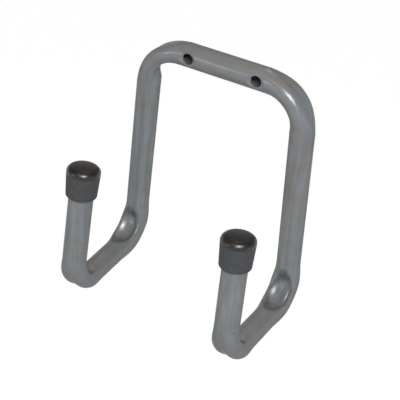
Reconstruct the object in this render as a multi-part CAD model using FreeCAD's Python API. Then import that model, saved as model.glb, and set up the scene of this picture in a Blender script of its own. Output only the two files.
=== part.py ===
import FreeCAD, Part
import math
import os
from collections import namedtuple

from FreeCAD import Vector

# A double wall hook, pressed from one length of thin steel tube, with a push-on cap on each end.
# Millimetres. +Z is up, +X runs along the mounting bar, +Y points into the wall.
# The origin lies on the wall, midway between the two screw holes.

# Tube
TUBE_DIAMETER = 16.0
TUBE_WALL = 1.2

# Route of the tube's axis, given by the corners where neighbouring straight runs would meet
BAR_SPAN = 110.8
LEG_HEIGHT = 151.0
LEG_SPLAY = 2.5
ARM_REACH = 78.7
ARM_DROP = 2.8
ARM_TOE_IN = 2.3
LEFT_UPRIGHT_LENGTH = 92.3
RIGHT_UPRIGHT_LENGTH = 88.4
UPRIGHT_LEAN_BACK = 5.5
UPRIGHT_LEAN_IN = 1.7

# A pressed bend: the radius of its axis, how far the crushed stretch reaches into each straight
# run, and the length over which the crush builds up from an end of that stretch. Then shares of
# the tube's radius at full crush: wider across the bend, pulled flat on its outside and dented on
# its inside by the press's die. The dent has a half width and a turn towards the wall, both in
# radians round the tube, and a half length
PressedBend = namedtuple("PressedBend", "radius lead ramp widened flattened dent width turn length")
TOP_BEND = PressedBend(24.4, 4.6, 17.0, 0.20, 0.42, 0.66, 1.15, 0.30, 18.5)
BACK_BEND = PressedBend(25.5, 4.6, 17.0, 0.20, -0.06, 0.46, 0.84, 0.0, 18.5)
FRONT_BEND = PressedBend(20.1, 4.0, 14.0, 0.22, 0.38, 0.30, 0.80, 0.0, 15.0)
FLAT_HALF_ANGLE = 0.86
DENT_STEEPNESS = 4.0
DENT_EDGE_SOFTNESS = 0.2

# Screw holes through both walls of the bar, each with its front rim pushed in to a shallow dish
HOLE_SPACING = 48.6
HOLE_DIAMETER = 7.5
DISH_RADIUS = 11.0
DISH_DEPTH = 1.8

# Push-on caps
CAP_CLEARANCE = 0.1
CAP_RIM_WALL = 1.9
CAP_SHOULDER_WALL = 3.0
CAP_COVER = 18.4
CAP_TOP_THICKNESS = 2.0
CAP_CROWN = 0.8
CAP_SHOULDER_FILLET = 4.0
CAP_RIM_FILLET = 1.2

# Fineness of the lofted bends, and the small steps used to take a slope and to find an edge
SECTION_POINTS = 36
STATION_STEP = 2.0
SLOPE_STEP = 1e-4
SAME_PLACE = 0.001

TUBE_RADIUS = TUBE_DIAMETER / 2

# A place on the tube's axis: its point, the way along, the direction where the section starts,
# the direction to the centre of the bend, the bend, how far it is crushed here and the distance
# to the bend's middle
Station = namedtuple("Station", "point along zero inward bend crush off_middle")


def unit(vector):
    return Vector(vector).normalize()


def smooth_step(share):
    share = min(max(share, 0.0), 1.0)
    return share * share * (3 - 2 * share)


def upright_corners(side):
    """Corners of the tube's axis on one side, from the bar's end to the tube's end."""
    splay = math.radians(LEG_SPLAY)
    drop = math.radians(ARM_DROP)
    toe = math.radians(ARM_TOE_IN)
    lean_back = math.radians(UPRIGHT_LEAN_BACK)
    lean_in = math.radians(UPRIGHT_LEAN_IN)
    top = Vector(side * BAR_SPAN / 2, -TUBE_RADIUS, 0)
    low = top + Vector(side * math.tan(splay), 0, -1) * LEG_HEIGHT
    front = low + Vector(-side * math.sin(toe), -math.cos(toe), -math.tan(drop)) * ARM_REACH
    rise = unit(Vector(-side * math.tan(lean_in), math.tan(lean_back), 1))
    end = front + rise * (LEFT_UPRIGHT_LENGTH if side < 0 else RIGHT_UPRIGHT_LENGTH)
    return [top, low, front, end]


def dent_share(bend, angle, off_middle):
    """How deep the die's dent is here: about 1 in its middle, 0 outside its softened edge."""
    across = (abs(angle - bend.turn) / bend.width) ** DENT_STEEPNESS
    along = (off_middle / bend.length) ** DENT_STEEPNESS
    share = 1 - across - along
    if abs(share) < DENT_EDGE_SOFTNESS:
        return (share + DENT_EDGE_SOFTNESS) ** 2 / (4 * DENT_EDGE_SOFTNESS)
    return max(share, 0)


def skin_radius(station, angle):
    """Distance from the axis to the skin; angle 0 faces the bend's centre."""
    if station.crush == 0:
        return TUBE_RADIUS
    bend = station.bend
    angle = math.remainder(angle, 2 * math.pi)
    wide = bend.widened * math.sin(angle) ** 2
    flat = bend.flattened * math.exp(-(((math.pi - abs(angle)) / FLAT_HALF_ANGLE) ** 2))
    dent = bend.dent * dent_share(bend, angle, station.off_middle)
    return TUBE_RADIUS * (1 + station.crush * (wide - flat - dent))


def section(station, depth):
    """Closed section of the tube's skin, or of a skin lying a depth below it."""
    beside = station.along.cross(station.zero)
    inward_angle = math.atan2(station.inward.dot(beside), station.inward.dot(station.zero))
    points = []
    for step in range(SECTION_POINTS):
        turned = 2 * math.pi * step / SECTION_POINTS
        angle = turned - inward_angle
        radius = skin_radius(station, angle)
        rise = skin_radius(station, angle + SLOPE_STEP) - skin_radius(station, angle - SLOPE_STEP)
        rate = rise / (2 * SLOPE_STEP)
        shift = depth / math.hypot(radius, rate)
        out = radius - shift * radius
        round_about = shift * rate
        outward = station.zero * math.cos(turned) + beside * math.sin(turned)
        onward = beside * math.cos(turned) - station.zero * math.sin(turned)
        points.append(station.point + outward * out + onward * round_about)
    curve = Part.BSplineCurve()
    curve.interpolate(points, PeriodicFlag=True)
    return Part.Wire([curve.toShape()])


def bend_stations(before, corner, after, bend, zero):
    """Stations along one pressed stretch, and the section's start direction carried past it."""
    along = unit(corner - before)
    ahead = unit(after - corner)
    turn = along.getAngle(ahead)
    axis = unit(along.cross(ahead))
    inward = unit(axis.cross(along))
    setback = bend.radius * math.tan(turn / 2)
    centre = corner - along * setback + inward * bend.radius
    arc_length = bend.radius * turn
    length = arc_length + 2 * bend.lead
    count = math.ceil(length / STATION_STEP)
    stations = []
    for step in range(count + 1):
        run = length * step / count
        arc = min(max(run - bend.lead, 0), arc_length)
        turned = FreeCAD.Rotation(axis, math.degrees(arc / bend.radius))
        way = turned.multVec(along)
        toward = turned.multVec(inward)
        point = centre - toward * bend.radius + way * (run - bend.lead - arc)
        crush = smooth_step(run / bend.ramp) * smooth_step((length - run) / bend.ramp)
        off_middle = abs(run - length / 2)
        stations.append(Station(point, way, turned.multVec(zero), toward, bend, crush, off_middle))
    return stations


def tube_stations():
    """Stations of each pressed stretch in turn, with the tube's two ends as stretches of one."""
    left = upright_corners(-1)
    right = upright_corners(1)
    corners = left[::-1] + right
    bends = [FRONT_BEND, BACK_BEND, TOP_BEND, TOP_BEND, BACK_BEND, FRONT_BEND]
    along = unit(corners[1] - corners[0])
    zero = unit(along.cross(Vector(1, 0, 0)))
    stretches = [[Station(corners[0], along, zero, zero, None, 0, 0)]]
    for index, bend in enumerate(bends, 1):
        zero = stretches[-1][-1].zero
        stretches.append(bend_stations(*corners[index - 1:index + 2], bend, zero))
    last = stretches[-1][-1]
    stretches.append([last._replace(point=corners[-1], crush=0)])
    return stretches


def skin_faces(stretches, depth):
    """Faces of one skin from end to end: a lofted face round each bend, a ruled one between."""
    faces = []
    for before, stretch in zip(stretches, stretches[1:]):
        run = [section(before[-1], depth), section(stretch[0], depth)]
        faces += Part.makeLoft(run, False, True).Faces
        if len(stretch) > 1:
            wires = [section(station, depth) for station in stretch]
            faces += Part.makeLoft(wires, False, False).Faces
    return faces


def end_face(station):
    rings = [section(station, 0), section(station, TUBE_WALL)]
    return Part.makeFace(rings, "Part::FaceMakerBullseye")


def hollow_tube():
    stretches = tube_stations()
    faces = skin_faces(stretches, 0) + skin_faces(stretches, TUBE_WALL)
    faces += [end_face(stretches[0][0]), end_face(stretches[-1][0])]
    shell = Part.makeShell(faces)
    shell.sewShape()
    return Part.makeSolid(shell)


def screw_place(side):
    """Where a screw's axis meets the front of the bar, before the rim is pushed in."""
    return Vector(side * HOLE_SPACING / 2, -TUBE_DIAMETER, 0)


def pushed_in_rim(side):
    """The wall pushed in round a screw hole, and the ball-shaped hollow left in front of it."""
    middle = screw_place(side) + Vector(0, DISH_DEPTH - DISH_RADIUS, 0)
    start = Vector(side * HOLE_SPACING / 2 - DISH_RADIUS, -TUBE_RADIUS, 0)
    within_wall = TUBE_RADIUS - TUBE_WALL / 2
    inside = Part.makeCylinder(within_wall, 2 * DISH_RADIUS, start, Vector(1, 0, 0))
    wall = Part.makeSphere(DISH_RADIUS + TUBE_WALL, middle).common(inside)
    hollow = Part.makeSphere(DISH_RADIUS, middle)
    return wall, hollow


def screw_drill(side):
    start = screw_place(side) - Vector(0, TUBE_RADIUS, 0)
    return Part.makeCylinder(HOLE_DIAMETER / 2, 2 * TUBE_DIAMETER, start, Vector(0, 1, 0))


def bent_tube():
    tube = hollow_tube()
    for side in (-1, 1):
        wall, hollow = pushed_in_rim(side)
        tube = tube.fuse(wall).cut(hollow).cut(screw_drill(side))
    return tube


def cap_blank(rim_radius, shoulder_radius):
    """The cap's outside, wider towards its crowned top; the tube's end lies at height 0."""
    crown_radius = (shoulder_radius ** 2 + CAP_CROWN ** 2) / (2 * CAP_CROWN)
    top = CAP_TOP_THICKNESS + CAP_CROWN
    halfway = shoulder_radius / 2
    rise = math.sqrt(crown_radius ** 2 - halfway ** 2) - crown_radius
    foot = Vector(0, 0, -CAP_COVER)
    rim = Vector(rim_radius, 0, -CAP_COVER)
    shoulder = Vector(shoulder_radius, 0, CAP_TOP_THICKNESS)
    peak = Vector(0, 0, top)
    crown = Part.Arc(shoulder, Vector(halfway, 0, top + rise), peak).toShape()
    sides = Part.makePolygon([peak, foot, rim, shoulder]).Edges
    return Part.Face(Part.Wire(sides + [crown])).revolve(Vector(0, 0, 0), Vector(0, 0, 1), 360)


def round_edges_at(solid, radius, height, fillet):
    """Fillets the round edges of a given radius that lie at a given height."""
    edges = []
    for edge in solid.Edges:
        box = edge.BoundBox
        flat = box.ZLength < SAME_PLACE and abs(box.ZMin - height) < SAME_PLACE
        if flat and abs(box.XLength / 2 - radius) < SAME_PLACE:
            edges.append(edge)
    return solid.makeFillet(fillet, edges)


def push_on_cap(side):
    """Moulded cap with a blind bore, which seats on the end of the tube."""
    bore_radius = TUBE_RADIUS + CAP_CLEARANCE
    rim_radius = bore_radius + CAP_RIM_WALL
    shoulder_radius = bore_radius + CAP_SHOULDER_WALL
    body = cap_blank(rim_radius, shoulder_radius)
    body = round_edges_at(body, shoulder_radius, CAP_TOP_THICKNESS, CAP_SHOULDER_FILLET)
    body = round_edges_at(body, rim_radius, -CAP_COVER, CAP_RIM_FILLET)
    cap = body.cut(Part.makeCylinder(bore_radius, CAP_COVER, Vector(0, 0, -CAP_COVER)))
    front, end = upright_corners(side)[-2:]
    cap.Placement = FreeCAD.Placement(end, FreeCAD.Rotation(Vector(0, 0, 1), end - front))
    return cap


os.makedirs("parts", exist_ok=True)
bent_tube().exportStep("parts/bent_tube.step")
push_on_cap(-1).exportStep("parts/left_cap.step")
push_on_cap(1).exportStep("parts/right_cap.step")
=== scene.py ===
import math

import bpy
from bpy.props import FloatProperty, FloatVectorProperty, PointerProperty
from mathutils import Euler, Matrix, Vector


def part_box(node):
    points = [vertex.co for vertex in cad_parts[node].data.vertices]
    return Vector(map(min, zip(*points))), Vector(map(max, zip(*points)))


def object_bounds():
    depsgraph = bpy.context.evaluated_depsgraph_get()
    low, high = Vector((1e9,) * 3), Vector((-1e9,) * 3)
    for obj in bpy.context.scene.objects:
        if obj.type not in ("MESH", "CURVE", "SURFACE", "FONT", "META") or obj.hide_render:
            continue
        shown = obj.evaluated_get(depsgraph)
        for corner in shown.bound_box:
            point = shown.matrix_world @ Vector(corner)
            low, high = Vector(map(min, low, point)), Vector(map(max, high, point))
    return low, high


bl_info = {
    "name": "Double Wall Hook",
    "version": (1, 0, 0),
    "blender": (4, 5, 0),
    "location": "View3D > Sidebar > Wall Hook",
    "description": "Paint, moulded caps and studio for a double wall hook of bent steel tube",
    "category": "Object",
}

MM = 0.001

# How far the uprights' caps lean, and where the line between a cap's polished crown and its dull
# side runs: its height over the cap's middle, along the cap's axis, and its half width
CAP_LEAN_BACK = math.radians(5.5)
CAP_LEAN_IN = math.radians(1.7)
PARTING_LINE_HEIGHT = 5.6 * MM
PARTING_LINE_WIDTH = 0.5 * MM

# Legs and uprights have long marks from drawing the tube. The squeeze in height draws the marks
# out; they run at full strength this far up and down from a middle height, and then fade
MARKS_SQUEEZE = (1, 1, 0.04)
MARKS_MIDDLE = -75 * MM
MARKS_REACH = 45 * MM
MARKS_FADE = 20 * MM

# A dark rim round the dent of each back bend is painted shade, where the dent's steep ends turn
# away from the light. The rim is where an oval ball cuts the tube, given for the right side with y
# and z counted as positive; the shares of the ball's size are how far off its surface the rim is
# darkest, and where it ends
SHADE_RIM_PLACE = (62.3 * MM, 30.4 * MM, 129.3 * MM)
SHADE_RIM_SLOPE = (math.radians(40.1), 0, 0)
SHADE_RIM_HALF_SIZE = (9 * MM, 13.5 * MM, 25 * MM)
SHADE_RIM_DARKEST = 0.03
SHADE_RIM_END = 0.15

# A small dark chip in the paint, low on the front of the right upright
CHIP_PLACE = (64.7 * MM, -88.4 * MM, -127.0 * MM)
CHIP_DARKEST = 0.3 * MM
CHIP_END = 0.9 * MM

# Most of a noise lies between these values
NOISE_SPAN = {"From Min": 0.3, "From Max": 0.7}

# The white paper: how much of its white is there whatever light falls on it, so that the rest
# can show a soft shadow, and how bright that white is
PAPER_GLOW_SHARE = 0.92
PAPER_GLOW = 1.05
SWEEP_SIDES = 96

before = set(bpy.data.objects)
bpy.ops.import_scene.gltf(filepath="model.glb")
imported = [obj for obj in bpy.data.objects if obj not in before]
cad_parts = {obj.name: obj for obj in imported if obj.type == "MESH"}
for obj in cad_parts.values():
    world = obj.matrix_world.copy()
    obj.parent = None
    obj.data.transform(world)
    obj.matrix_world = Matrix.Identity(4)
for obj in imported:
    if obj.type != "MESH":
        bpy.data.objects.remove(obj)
CAD_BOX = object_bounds()


def linear(hex_colour):
    """sRGB hex colour as linear red, green and blue."""
    channels = [int(hex_colour[i:i + 2], 16) / 255 for i in (0, 2, 4)]
    return [c / 12.92 if c <= 0.04045 else ((c + 0.055) / 1.055) ** 2.4 for c in channels]


def rgba(colour):
    return (*colour, 1.0)


def add_node(tree, kind, settings=None, links=None):
    """Adds a node, sets its sockets or properties, and links its sockets to other outputs."""
    node = tree.nodes.new(kind)
    for key, value in (settings or {}).items():
        if isinstance(key, int) or key in node.inputs:
            node.inputs[key].default_value = value
        else:
            setattr(node, key, value)
    for key, output in (links or {}).items():
        tree.links.new(output, node.inputs[key])
    return node


def empty_tree(owner):
    owner.use_nodes = True
    owner.node_tree.nodes.clear()
    return owner.node_tree


def colour_steps(ramp, steps):
    """Gives a colour ramp its steps, each a place and a linear colour."""
    elements = ramp.color_ramp.elements
    while len(elements) < len(steps):
        elements.new(1.0)
    for element, (place, colour) in zip(elements, steps):
        element.position = place
        element.color = rgba(colour)


def noise_scale(lump):
    """Scale of a noise whose lumps are about this long in metres."""
    return 1 / lump


def drawn_marks(tree, place, paint):
    """Share of the paint's colour left by the long marks on legs and uprights."""
    squeezed = add_node(tree, "ShaderNodeVectorMath", {"operation": "MULTIPLY", 1: MARKS_SQUEEZE},
                        {0: place})
    lines = add_node(tree, "ShaderNodeTexNoise",
                     {"Scale": noise_scale(paint.streak_width), "Detail": 1.0},
                     {"Vector": squeezed.outputs["Vector"]})
    marks = add_node(tree, "ShaderNodeMapRange",
                     {**NOISE_SPAN, "To Min": -paint.streak_depth, "To Max": paint.streak_depth},
                     {"Value": lines.outputs["Fac"]})
    height = add_node(tree, "ShaderNodeSeparateXYZ", links={0: place}).outputs["Z"]
    from_middle = add_node(tree, "ShaderNodeMath", {"operation": "SUBTRACT", 1: MARKS_MIDDLE},
                           {0: height})
    off_middle = add_node(tree, "ShaderNodeMath", {"operation": "ABSOLUTE"},
                          {0: from_middle.outputs["Value"]})
    fade = add_node(tree, "ShaderNodeMapRange",
                    {"From Min": MARKS_REACH, "From Max": MARKS_REACH + MARKS_FADE,
                     "To Min": 1.0, "To Max": 0.0}, {"Value": off_middle.outputs["Value"]})
    share = add_node(tree, "ShaderNodeMath", {"operation": "MULTIPLY_ADD", 2: 1.0},
                     {0: marks.outputs["Result"], 1: fade.outputs["Result"]})
    return share.outputs["Value"]


def chip_and_painted_shade(tree, place, paint):
    """Share of the paint's colour left by the chip and by the painted shade round the back bends'
    dents.
    """
    from_chip = add_node(tree, "ShaderNodeVectorMath", {"operation": "DISTANCE", 1: CHIP_PLACE},
                         {0: place})
    chip = add_node(tree, "ShaderNodeMapRange",
                    {"From Min": CHIP_DARKEST, "From Max": CHIP_END,
                     "To Min": 1 - paint.chip_depth, "To Max": 1.0},
                    {"Value": from_chip.outputs["Value"]})
    # Painted shade: a dark rim round each back bend's dent, darkest just off an oval ball's surface
    either_side = add_node(tree, "ShaderNodeVectorMath", {"operation": "ABSOLUTE"}, {0: place})
    in_ball = add_node(tree, "ShaderNodeMapping",
                       {"vector_type": "TEXTURE", "Location": SHADE_RIM_PLACE, "Rotation": SHADE_RIM_SLOPE,
                        "Scale": SHADE_RIM_HALF_SIZE}, {"Vector": either_side.outputs["Vector"]})
    reach = add_node(tree, "ShaderNodeVectorMath", {"operation": "LENGTH"},
                     {0: in_ball.outputs["Vector"]})
    from_rim = add_node(tree, "ShaderNodeMath", {"operation": "SUBTRACT", 1: 1.0},
                        {0: reach.outputs["Value"]})
    off_rim = add_node(tree, "ShaderNodeMath", {"operation": "ABSOLUTE"},
                       {0: from_rim.outputs["Value"]})
    rim_shade = add_node(tree, "ShaderNodeMapRange",
                   {"From Min": SHADE_RIM_DARKEST, "From Max": SHADE_RIM_END, "To Min": 1 - paint.painted_shade_depth,
                    "To Max": 1.0}, {"Value": off_rim.outputs["Value"]})
    share = add_node(tree, "ShaderNodeMath", {"operation": "MULTIPLY"},
                     {0: chip.outputs["Result"], 1: rim_shade.outputs["Result"]})
    return share.outputs["Value"]


def grey_enamel():
    """Grey spray enamel with fine metal flake, on steel tube.

    The flake gives broad soft highlights that follow the crushed bends, and a dulled edge. Faint
    warm and cool clouds show where the coat is thin or thick, long marks show how the tube was
    drawn, and sprayed paint's slow ripple and fine grit break up the gloss.
    """
    paint = bpy.context.scene.hook_paint
    material = bpy.data.materials.new("grey_spray_enamel")
    tree = empty_tree(material)
    place = add_node(tree, "ShaderNodeTexCoord").outputs["Object"]
    clouds = add_node(tree, "ShaderNodeTexNoise",
                      {"Scale": noise_scale(paint.cloud_size), "Detail": 3.0, "Roughness": 0.6},
                      {"Vector": place})
    tint = add_node(tree, "ShaderNodeValToRGB", links={"Fac": clouds.outputs["Fac"]})
    colour_steps(tint, [(0.36, paint.warm_colour), (0.64, paint.cool_colour)])
    # The share holds the drawn marks, the chip and the painted shade round the back bends' dents
    share = add_node(tree, "ShaderNodeMath", {"operation": "MULTIPLY"},
                     {0: drawn_marks(tree, place, paint), 1: chip_and_painted_shade(tree, place, paint)})
    colour = add_node(tree, "ShaderNodeVectorMath", {"operation": "SCALE"},
                      {0: tint.outputs["Color"], "Scale": share.outputs["Value"]})
    peel = add_node(tree, "ShaderNodeTexNoise",
                    {"Scale": noise_scale(paint.peel_size), "Detail": 2.0}, {"Vector": place})
    bump = add_node(tree, "ShaderNodeBump", {"Strength": 1.0, "Distance": paint.peel_height},
                    {"Height": peel.outputs["Fac"]})
    grit = add_node(tree, "ShaderNodeTexNoise",
                    {"Scale": noise_scale(paint.grit_size), "Detail": 1.0}, {"Vector": place})
    gloss = add_node(tree, "ShaderNodeMapRange",
                     {**NOISE_SPAN, "To Min": paint.roughness - paint.grit_roughness,
                      "To Max": paint.roughness + paint.grit_roughness},
                     {"Value": grit.outputs["Fac"]})
    shader = add_node(tree, "ShaderNodeBsdfPrincipled",
                      {"IOR": 1.45, "Metallic": 0.3, "Specular IOR Level": 0.1,
                       "Specular Tint": (0.3, 0.3, 0.3, 1)},
                      {"Base Color": colour.outputs["Vector"], "Normal": bump.outputs["Normal"],
                       "Roughness": gloss.outputs["Result"]})
    add_node(tree, "ShaderNodeOutputMaterial", links={"Surface": shader.outputs["BSDF"]})
    return material


def moulded_vinyl(cap):
    """Black moulded vinyl of one cap.

    The crown is glossy where the mould was polished. Below the mould's parting line, a thin dark
    line, the side has a dull fine grain with dust in it. The side's colour is lighter than the
    crown's, partly from that dust and partly as painted light, for a side lit from the front and a
    crown that gets little light from above.
    """
    vinyl = bpy.context.scene.hook_vinyl
    low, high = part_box(cap)
    axis = Vector((-low.x / abs(low.x) * math.tan(CAP_LEAN_IN), math.tan(CAP_LEAN_BACK), 1))
    axis.normalize()
    parting = (low + high).dot(axis) / 2 + PARTING_LINE_HEIGHT
    material = bpy.data.materials.new("black_moulded_vinyl_" + cap)
    tree = empty_tree(material)
    place = add_node(tree, "ShaderNodeTexCoord").outputs["Object"]
    height = add_node(tree, "ShaderNodeVectorMath", {"operation": "DOT_PRODUCT", 1: axis},
                      {0: place})
    crown = add_node(tree, "ShaderNodeMapRange",
                     {"From Min": parting - PARTING_LINE_WIDTH,
                      "From Max": parting + PARTING_LINE_WIDTH}, {"Value": height.outputs["Value"]})
    shares = add_node(tree, "ShaderNodeValToRGB", links={"Fac": crown.outputs["Result"]})
    # The side's colour is lighter than the crown's partly from dust and partly as painted light
    # from the front
    colour_steps(shares, [(0.2, vinyl.side_colour), (0.45, vinyl.line_colour),
                          (0.55, vinyl.line_colour), (0.8, vinyl.crown_colour)])
    dust = add_node(tree, "ShaderNodeTexNoise",
                    {"Scale": noise_scale(vinyl.dust_size), "Detail": 4.0, "Roughness": 0.7},
                    {"Vector": place})
    shade = add_node(tree, "ShaderNodeMapRange",
                     {**NOISE_SPAN, "To Min": 1 - vinyl.dust_depth,
                      "To Max": 1 + vinyl.dust_depth},
                     {"Value": dust.outputs["Fac"]})
    tint = add_node(tree, "ShaderNodeVectorMath", {"operation": "SCALE"},
                    {0: shares.outputs["Color"], "Scale": shade.outputs["Result"]})
    grain = add_node(tree, "ShaderNodeTexNoise",
                     {"Scale": noise_scale(vinyl.grain_size), "Detail": 2.0}, {"Vector": place})
    bump = add_node(tree, "ShaderNodeBump", {"Strength": 1.0, "Distance": vinyl.grain_height},
                    {"Height": grain.outputs["Fac"]})
    gloss = add_node(tree, "ShaderNodeMapRange",
                     {"To Min": vinyl.side_roughness, "To Max": vinyl.crown_roughness},
                     {"Value": crown.outputs["Result"]})
    shader = add_node(tree, "ShaderNodeBsdfPrincipled", {"IOR": 1.55, "Metallic": 0.0},
                      {"Base Color": tint.outputs["Vector"], "Normal": bump.outputs["Normal"],
                       "Roughness": gloss.outputs["Result"]})
    add_node(tree, "ShaderNodeOutputMaterial", links={"Surface": shader.outputs["BSDF"]})
    return material


def seen_white(tree):
    """1 for rays that come straight from the camera or off a glossy or clear surface."""
    rays = add_node(tree, "ShaderNodeLightPath").outputs
    gloss = add_node(tree, "ShaderNodeMath", {"operation": "MAXIMUM"},
                     {0: rays["Is Glossy Ray"], 1: rays["Is Transmission Ray"]})
    seen = add_node(tree, "ShaderNodeMath", {"operation": "MAXIMUM"},
                    {0: rays["Is Camera Ray"], 1: gloss.outputs["Value"]})
    return seen.outputs["Value"]


def white_sweep():
    """Matt white paper, which shows white to the camera and in gloss, and keeps a soft shadow."""
    material = bpy.data.materials.new("white_paper_sweep")
    tree = empty_tree(material)
    share = add_node(tree, "ShaderNodeMath", {"operation": "MULTIPLY", 1: PAPER_GLOW_SHARE},
                     {0: seen_white(tree)})
    paper = add_node(tree, "ShaderNodeBsdfDiffuse", {"Color": rgba(linear("F4F4F4"))})
    glow = add_node(tree, "ShaderNodeEmission", {"Color": (1, 1, 1, 1), "Strength": PAPER_GLOW})
    mix = add_node(tree, "ShaderNodeMixShader",
                   links={0: share.outputs["Value"], 1: paper.outputs["BSDF"],
                          2: glow.outputs["Emission"]})
    add_node(tree, "ShaderNodeOutputMaterial", links={"Surface": mix.outputs["Shader"]})
    return material


def dim_room(strength, colour):
    """The room over the paper: an even, slightly warm light, dimmer than the paper's white."""
    world = bpy.data.worlds.new("dim_room")
    tree = empty_tree(world)
    even = add_node(tree, "ShaderNodeBackground", {"Color": rgba(colour), "Strength": strength})
    add_node(tree, "ShaderNodeOutputWorld", links={"Surface": even.outputs["Background"]})
    return world


def give(piece, material):
    piece.data.materials.clear()
    piece.data.materials.append(material)


class HookPaint(bpy.types.PropertyGroup):
    """Grey paint of the tube."""
    cool_colour: FloatVectorProperty(
        name="Cool grey", description="Paint where the coat is thick", subtype="COLOR",
        size=3, min=0, max=1, default=linear("757B80"))
    warm_colour: FloatVectorProperty(
        name="Warm grey", description="Paint where the coat is thin", subtype="COLOR",
        size=3, min=0, max=1, default=linear("747574"))
    roughness: FloatProperty(
        name="Roughness", description="Roughness of the paint", default=0.3, min=0, max=1)
    cloud_size: FloatProperty(
        name="Cloud size", description="Size of the coat's cloudy patches",
        default=9 * MM, min=0, unit="LENGTH")
    streak_width: FloatProperty(
        name="Streak width", description="Width of the long marks on legs and uprights",
        default=2.4 * MM, min=0, unit="LENGTH")
    streak_depth: FloatProperty(
        name="Streak depth", description="How much the long marks lighten or darken the paint",
        default=0.12, min=0, max=1)
    # How much darker the painted shade round each back bend's dent makes the paint
    painted_shade_depth: FloatProperty(
        name="Painted shade depth", description="How much darker the rim round each back bend's dent is",
        default=0.36, min=0, max=1)
    chip_depth: FloatProperty(
        name="Chip depth", description="How much darker the chip in the paint is",
        default=0.45, min=0, max=1)
    peel_size: FloatProperty(
        name="Peel size", description="Width of the sprayed coat's ripples",
        default=2.6 * MM, min=0, unit="LENGTH")
    peel_height: FloatProperty(
        name="Peel height", description="Height of the sprayed coat's ripples",
        default=0.015 * MM, min=0, unit="LENGTH")
    grit_size: FloatProperty(
        name="Grit size", description="Width of the grit in the coat",
        default=0.7 * MM, min=0, unit="LENGTH")
    grit_roughness: FloatProperty(
        name="Grit roughness", description="How much the grit changes the roughness",
        default=0.015, min=0, max=1)


class HookVinyl(bpy.types.PropertyGroup):
    """Black vinyl of the caps."""
    crown_colour: FloatVectorProperty(
        name="Crown", description="Colour of the polished crown", subtype="COLOR",
        size=3, min=0, max=1, default=linear("121314"))
    line_colour: FloatVectorProperty(
        name="Parting line", description="Colour of the line under the crown", subtype="COLOR",
        size=3, min=0, max=1, default=linear("0E0E0F"))
    # The side colour is lighter partly from dust and partly as painted light from the front
    side_colour: FloatVectorProperty(
        name="Side", description="Colour of the dull side: dust in its grain and painted light from the front",
        subtype="COLOR", size=3, min=0, max=1, default=linear("35373A"))
    crown_roughness: FloatProperty(
        name="Crown roughness", description="Roughness of the polished crown",
        default=0.32, min=0, max=1)
    side_roughness: FloatProperty(
        name="Side roughness", description="Roughness of the grained side",
        default=0.85, min=0, max=1)
    dust_size: FloatProperty(
        name="Dust size", description="Size of the dusty patches",
        default=2.5 * MM, min=0, unit="LENGTH")
    dust_depth: FloatProperty(
        name="Dust depth", description="How much the dust lightens or darkens the vinyl",
        default=0.2, min=0, max=1)
    grain_size: FloatProperty(
        name="Grain size", description="Width of the moulded grain",
        default=0.6 * MM, min=0, unit="LENGTH")
    grain_height: FloatProperty(
        name="Grain height", description="Height of the moulded grain",
        default=0.01 * MM, min=0, unit="LENGTH")


class HookStudio(bpy.types.PropertyGroup):
    """Floor, room and camera."""
    floor_drop: FloatProperty(
        name="Floor drop", description="How far the floor lies below the hook",
        default=260 * MM, min=0, unit="LENGTH")
    sweep_radius: FloatProperty(
        name="Sweep radius", description="Radius of the floor and of the paper wall round it",
        default=15.0, min=0, unit="LENGTH")
    sweep_height: FloatProperty(
        name="Sweep height", description="Height of the paper wall",
        default=4.0, min=0, unit="LENGTH")
    room_light: FloatProperty(
        name="Room light", description="Strength of the even light of the room",
        default=0.3, min=0)
    room_colour: FloatVectorProperty(
        name="Room colour", description="Colour of the even light", subtype="COLOR",
        size=3, min=0, max=1, default=linear("FFF9F0"))
    camera_place: FloatVectorProperty(
        name="Camera place", description="Where the camera stands", subtype="TRANSLATION",
        size=3, default=(248.45 * MM, -477.54 * MM, 239.88 * MM))
    camera_turn: FloatVectorProperty(
        name="Camera turn", description="How the camera is turned", subtype="EULER",
        size=3, default=[math.radians(a) for a in (57.981, -4.690, 31.151)])
    lens: FloatProperty(
        name="Lens", description="Focal length in millimetres on a 36 mm sensor",
        default=83.895, min=1)
    shift: FloatVectorProperty(
        name="Shift", description="Sideways and upward shift of the lens",
        size=2, default=(-0.0242, -0.0247))


# How far all lamps stand from the hook. Then each lamp's name, azimuth and elevation in degrees
# seen from the hook, width in millimetres, power in watts, and colour. The first two light the
# hook, and the others give its gloss the photo's small cool and warm highlights
LAMP_DISTANCE = 900 * MM
LAMPS = [
    ("key_softbox", 43.0, 50.0, 400.0, 1.6, "FFFFFF"),
    ("camera_flash", 37.0, 41.0, 260.0, 6.8, "FBFDFF"),
    ("front_lamp", 14.0, 27.0, 100.0, 0.35, "E4EEFF"),
    ("left_glint", -33.0, 16.0, 60.0, 0.8, "E4EEFF"),
    ("right_glint", 93.0, 2.0, 60.0, 0.2, "E4EEFF"),
    ("warm_ceiling_bulb", -15.0, 55.0, 180.0, 0.9, "FFB864"),
    ("warm_back_bulb", -158.0, 61.0, 60.0, 0.6, "FFB864"),
]


class HOOK_OT_tube(bpy.types.Operator):
    """Paint the bent tube"""
    bl_idname = "hook.tube"
    bl_label = "Bent Tube"

    def execute(self, context):
        give(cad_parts["bent_tube"], grey_enamel())
        return {"FINISHED"}


class HOOK_OT_caps(bpy.types.Operator):
    """Give the two push-on caps their moulded vinyl"""
    bl_idname = "hook.caps"
    bl_label = "Push-on Caps"

    def execute(self, context):
        for cap in ("left_cap", "right_cap"):
            give(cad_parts[cap], moulded_vinyl(cap))
        return {"FINISHED"}


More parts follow.
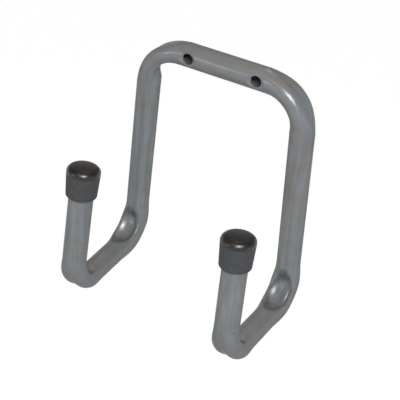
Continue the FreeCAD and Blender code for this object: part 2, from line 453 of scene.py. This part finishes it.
class HOOK_OT_stage(bpy.types.Operator):
    """Set up the white paper, the lamps, the dim room and the camera"""
    bl_idname = "hook.stage"
    bl_label = "Studio"

    def execute(self, context):
        studio = context.scene.hook_studio
        low, high = CAD_BOX
        middle = (low + high) / 2
        paper = white_sweep()
        foot = low.z - studio.floor_drop
        bpy.ops.object.select_all(action="DESELECT")
        bpy.ops.mesh.primitive_circle_add(
            vertices=SWEEP_SIDES, radius=studio.sweep_radius, fill_type="NGON",
            location=(middle.x, middle.y, foot))
        add_to_stage(context.object, "floor", paper)
        bpy.ops.mesh.primitive_cylinder_add(
            vertices=SWEEP_SIDES, radius=studio.sweep_radius, depth=studio.sweep_height,
            end_fill_type="NOTHING",
            location=(middle.x, middle.y, foot + studio.sweep_height / 2))
        add_to_stage(context.object, "paper_wall", paper)
        for lamp in LAMPS:
            add_lamp(middle, *lamp)
        context.scene.world = dim_room(studio.room_light, studio.room_colour)
        camera = bpy.data.cameras.new("camera")
        camera.lens = studio.lens
        camera.sensor_width = 36.0
        camera.shift_x, camera.shift_y = studio.shift
        view = bpy.data.objects.new("camera", camera)
        view.location = studio.camera_place
        view.rotation_euler = Euler(studio.camera_turn, "XYZ")
        context.scene.collection.objects.link(view)
        context.scene.camera = view
        context.scene.view_settings.view_transform = "Standard"
        return {"FINISHED"}


def add_to_stage(backdrop, name, paper):
    backdrop.name = name
    backdrop.data.materials.append(paper)


def add_lamp(middle, name, azimuth, elevation, width, power, colour):
    """A square lamp that faces the hook; azimuth 0 is straight in front of the wall."""
    turn, rise = math.radians(azimuth), math.radians(elevation)
    back = Vector((math.sin(turn) * math.cos(rise), -math.cos(turn) * math.cos(rise),
                   math.sin(rise)))
    light = bpy.data.lights.new(name, "AREA")
    light.shape = "SQUARE"
    light.size = width * MM
    light.energy = power
    light.color = linear(colour)
    lamp = bpy.data.objects.new(name, light)
    lamp.location = middle + back * LAMP_DISTANCE
    lamp.rotation_euler = back.to_track_quat("Z", "Y").to_euler()
    bpy.context.scene.collection.objects.link(lamp)


class HOOK_PT_panel(bpy.types.Panel):
    """Settings and steps of the double wall hook"""
    bl_label = "Double Wall Hook"
    bl_idname = "HOOK_PT_panel"
    bl_space_type = "VIEW_3D"
    bl_region_type = "UI"
    bl_category = "Wall Hook"

    def draw(self, context):
        scene = context.scene
        for group, operator in (
                (scene.hook_paint, HOOK_OT_tube), (scene.hook_vinyl, HOOK_OT_caps),
                (scene.hook_studio, HOOK_OT_stage)):
            box = self.layout.box()
            box.operator(operator.bl_idname)
            for name in group.bl_rna.properties.keys():
                if name not in ("rna_type", "name"):
                    box.prop(group, name)


CLASSES = (HookPaint, HookVinyl, HookStudio, HOOK_OT_tube, HOOK_OT_caps, HOOK_OT_stage,
           HOOK_PT_panel)
GROUPS = {"hook_paint": HookPaint, "hook_vinyl": HookVinyl, "hook_studio": HookStudio}


def register():
    for item in CLASSES:
        bpy.utils.register_class(item)
    for name, group in GROUPS.items():
        setattr(bpy.types.Scene, name, PointerProperty(type=group))


def unregister():
    for name in GROUPS:
        delattr(bpy.types.Scene, name)
    for item in reversed(CLASSES):
        bpy.utils.unregister_class(item)


def main():
    register()
    bpy.ops.hook.tube()
    bpy.ops.hook.caps()
    bpy.ops.hook.stage()


if __name__ == "__main__":
    main()
